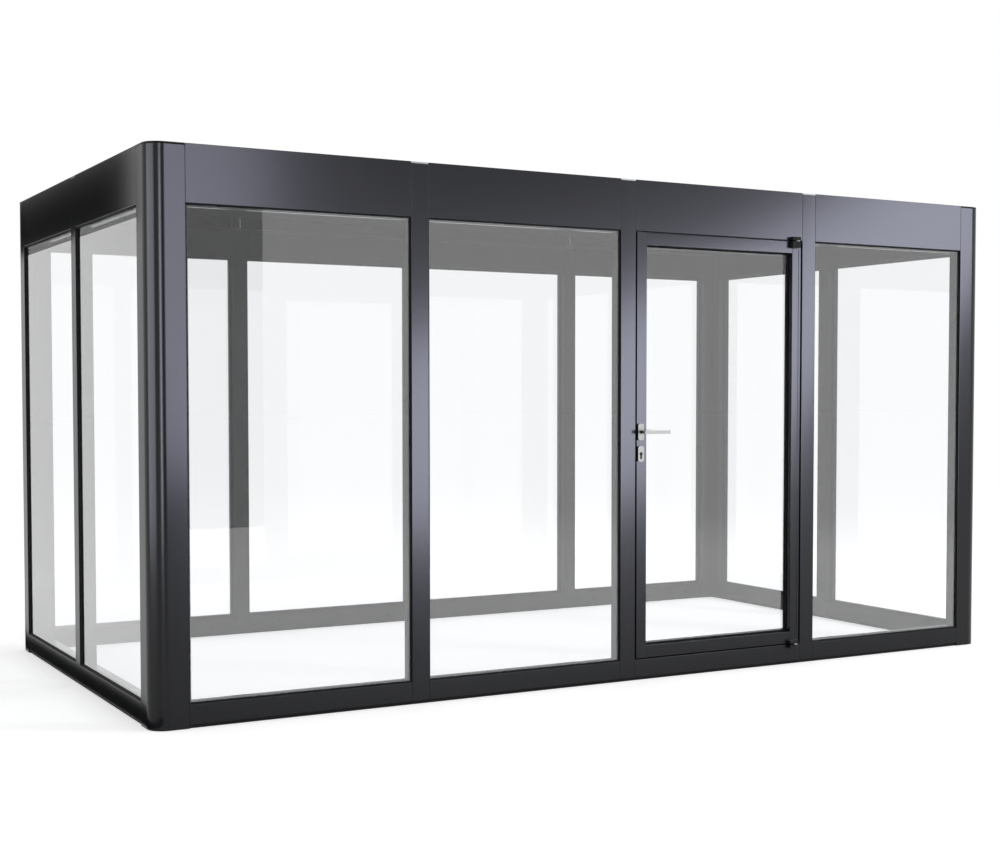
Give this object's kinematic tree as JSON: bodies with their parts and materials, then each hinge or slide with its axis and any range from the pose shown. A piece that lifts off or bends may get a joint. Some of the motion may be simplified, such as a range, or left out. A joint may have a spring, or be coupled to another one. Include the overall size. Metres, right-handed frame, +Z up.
{
  "type": "greenhouse",
  "caption": "Flat-roofed glass greenhouse with dark metal posts, deep fascia, full-height panes, rounded corner posts and a hinged glass door with lever handles.",
  "frame": {"origin": "centre of the bounding box in plan, door handles included, at ground level; the middle of the glazed walls' outer faces lies 29 mm behind it, at Y = +0.029", "axes": "+X along the front wall to the right as seen from outside, +Y from the front wall with the door to the rear wall, +Z up"},
  "size_m": [4.632, 2.49, 2.46],
  "materials": {
    "frame": "satin anthracite powder coat",
    "door_frame": "satin anthracite powder coat",
    "roof_metal": "satin anthracite powder coat",
    "cap_dark": "satin black cap plate",
    "cap_light": "mill finish aluminium",
    "plinth": "matt black base gasket",
    "seal_rubber": "matt black glazing seal",
    "glass": "clear toughened float glass",
    "hinge_black": "satin black pivot hinge",
    "pin_steel": "turned steel pin and collar",
    "lock_black": "black key cylinder",
    "handle_metal": "satin silver lever and roses"
  },
  "bodies": {
    "house": {"corner_post_front_left": "frame", "corner_post_front_right": "frame", "corner_post_rear_left": "frame", "corner_post_rear_right": "frame", "corner_caps": "cap_dark", "front_posts": "frame", "rear_posts": "frame", "side_posts": "frame", "post_caps": "cap_light", "front_fascia": "frame", "rear_fascia": "frame", "left_fascia": "frame", "right_fascia": "frame", "roof_ledge": "roof_metal", "front_rail": "frame", "rear_rail": "frame", "left_rail": "frame", "right_rail": "frame", "ground_strips": "plinth", "front_glass": "glass", "rear_glass": "glass", "left_glass": "glass", "right_glass": "glass", "front_seals": "seal_rubber", "rear_seals": "seal_rubber", "left_seals": "seal_rubber", "right_seals": "seal_rubber", "roof_deck": "roof_metal", "roof_frame": "roof_metal", "roof_glass": "glass", "door_stops": "frame", "hinge_blocks": "hinge_black", "hinge_pins": "pin_steel"},
    "door": {"door_lock_stile": "door_frame", "door_hinge_stile": "door_frame", "door_top_rail": "door_frame", "door_bottom_rail": "door_frame", "door_glass": "glass", "door_seal": "seal_rubber", "door_hinge_arms": "hinge_black", "handle_roses": "handle_metal", "lock_escutcheons": "handle_metal", "lock_cylinder": "lock_black"},
    "lever": {"outer_lever": "handle_metal", "inner_lever": "handle_metal"}
  },
  "joints": [
    {"name": "door_hinge", "type": "hinge", "parent": "house", "child": "door", "pos_m": [1.019, -1.199, 0.1], "axis": [0, 0, 1], "range_deg": [0, 100]},
    {"name": "lever_turn", "type": "hinge", "parent": "door", "child": "lever", "pos_m": [0.069, -1.187, 1.198], "axis": [0, 1, 0], "range_deg": [0, 40], "stiffness_Nm_per_rad": 2, "springref_deg": -17.19}
  ]
}
